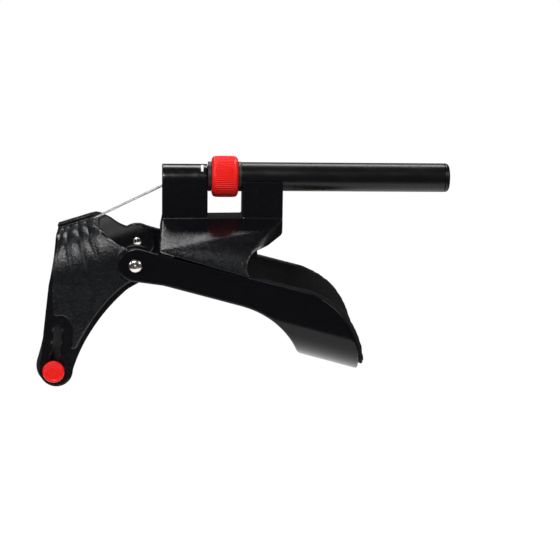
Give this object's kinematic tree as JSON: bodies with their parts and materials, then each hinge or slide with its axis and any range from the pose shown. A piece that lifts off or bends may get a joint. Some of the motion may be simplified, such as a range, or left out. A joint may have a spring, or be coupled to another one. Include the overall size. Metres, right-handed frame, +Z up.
{
  "type": "wrist exerciser",
  "caption": "Spring-resisted wrist and forearm exerciser: padded cuff and saddle, swinging yoke with a foam grip, steel cable and a tube with a red tension knob.",
  "frame": {"origin": "middle of the yoke's pivot axis, where the wearer's wrist lies", "axes": "+X along the spring tube towards the elbow, +Y to the left seen from the elbow, +Z up"},
  "size_m": [0.2864, 0.1026, 0.1539],
  "materials": {
    "gloss_black": "smooth glossy black moulding",
    "grained_black": "fine spark-eroded grain, semi-gloss black",
    "tube_black": "satin black powder coat",
    "foam_black": "closed-cell black foam",
    "red_plastic": "satin red moulding",
    "white_mark": "white inlay",
    "nylon": "black nylon",
    "steel": "bright steel",
    "nickel": "nickel-plated"
  },
  "bodies": {
    "frame": {"forearm_frame": "gloss_black", "cuff_pad": "foam_black", "saddle": "grained_black", "saddle_pad": "foam_black", "index_mark": "white_mark", "pivot_rivet_left": "nickel", "pivot_rivet_right": "nickel", "pivot_washer_left": "nylon", "pivot_washer_right": "nylon", "spring_tube": "tube_black", "tube_end_cap": "tube_black", "tube_screw": "steel", "knob_sleeve_front": "nylon", "knob_sleeve_rear": "nylon", "resistance_spring": "steel", "roller_pin": "steel", "saddle_screw_front_left": "steel", "saddle_screw_front_right": "steel", "saddle_screw_rear_left": "steel", "saddle_screw_rear_right": "steel"},
    "yoke": {"yoke": "grained_black", "cable_anchor": "nickel"},
    "cable_front": {"cable_front": "steel"},
    "plunger": {"plunger": "steel", "cable_inner": "steel"},
    "guide_roller": {"guide_roller": "nickel"},
    "knob": {"adjust_knob": "red_plastic"},
    "spring_seat": {"spring_seat": "nickel"},
    "grip": {"grip_core": "steel", "grip_foam": "foam_black", "button_spring_left": "steel", "button_spring_right": "steel"},
    "button_left": {"grip_button_left": "red_plastic"},
    "button_right": {"grip_button_right": "red_plastic"}
  },
  "joints": [
    {"name": "yoke_pivot", "type": "hinge", "parent": "frame", "child": "yoke", "pos_m": [0, 0, 0], "axis": [0, -1, 0], "range_deg": [-45, 15], "stiffness_Nm_per_rad": 3.2, "springref_deg": -45.84},
    {"name": "cable_swing", "type": "hinge", "parent": "yoke", "child": "cable_front", "pos_m": [-0.03, 0, 0.0233], "axis": [0, -1, 0], "range_deg": [-13.5, 40], "deforming": ["cable_front"]},
    {"name": "plunger_slide", "type": "slide", "parent": "frame", "child": "plunger", "axis": [-1, 0, 0], "range_m": [-0.0292, 0.0098], "deforming": ["resistance_spring"]},
    {"name": "roller_turn", "type": "hinge", "parent": "frame", "child": "guide_roller", "pos_m": [0.033, 0, 0.0484], "axis": [0, -1, 0], "range_deg": [-420, 140]},
    {"name": "seat_slide", "type": "slide", "parent": "frame", "child": "spring_seat", "axis": [1, 0, 0], "range_m": [-0.005, 0.005], "deforming": ["resistance_spring"]},
    {"name": "knob_turn", "type": "hinge", "parent": "frame", "child": "knob", "pos_m": [0.06125, 0, 0.0535], "axis": [1, 0, 0], "range_deg": [-302, 302]},
    {"name": "grip_height", "type": "slide", "parent": "yoke", "child": "grip", "axis": [0.1132, 0, 0.9936], "range_m": [0, 0.0264]},
    {"name": "button_left_press", "type": "slide", "parent": "grip", "child": "button_left", "axis": [0, -1, 0], "range_m": [0, 0.0024], "stiffness_N_per_m": 400, "deforming": ["button_spring_left"]},
    {"name": "button_right_press", "type": "slide", "parent": "grip", "child": "button_right", "axis": [0, 1, 0], "range_m": [0, 0.0024], "stiffness_N_per_m": 400, "deforming": ["button_spring_right"]}
  ],
  "couplings": [
    {"joint": "cable_swing", "follows": "yoke_pivot", "ratio": -0.88},
    {"joint": "plunger_slide", "follows": "yoke_pivot", "m_per_rad": 0.0365},
    {"joint": "roller_turn", "follows": "yoke_pivot", "ratio": 8.9},
    {"joint": "knob_turn", "follows": "seat_slide", "rad_per_m": -1047.2}
  ]
}
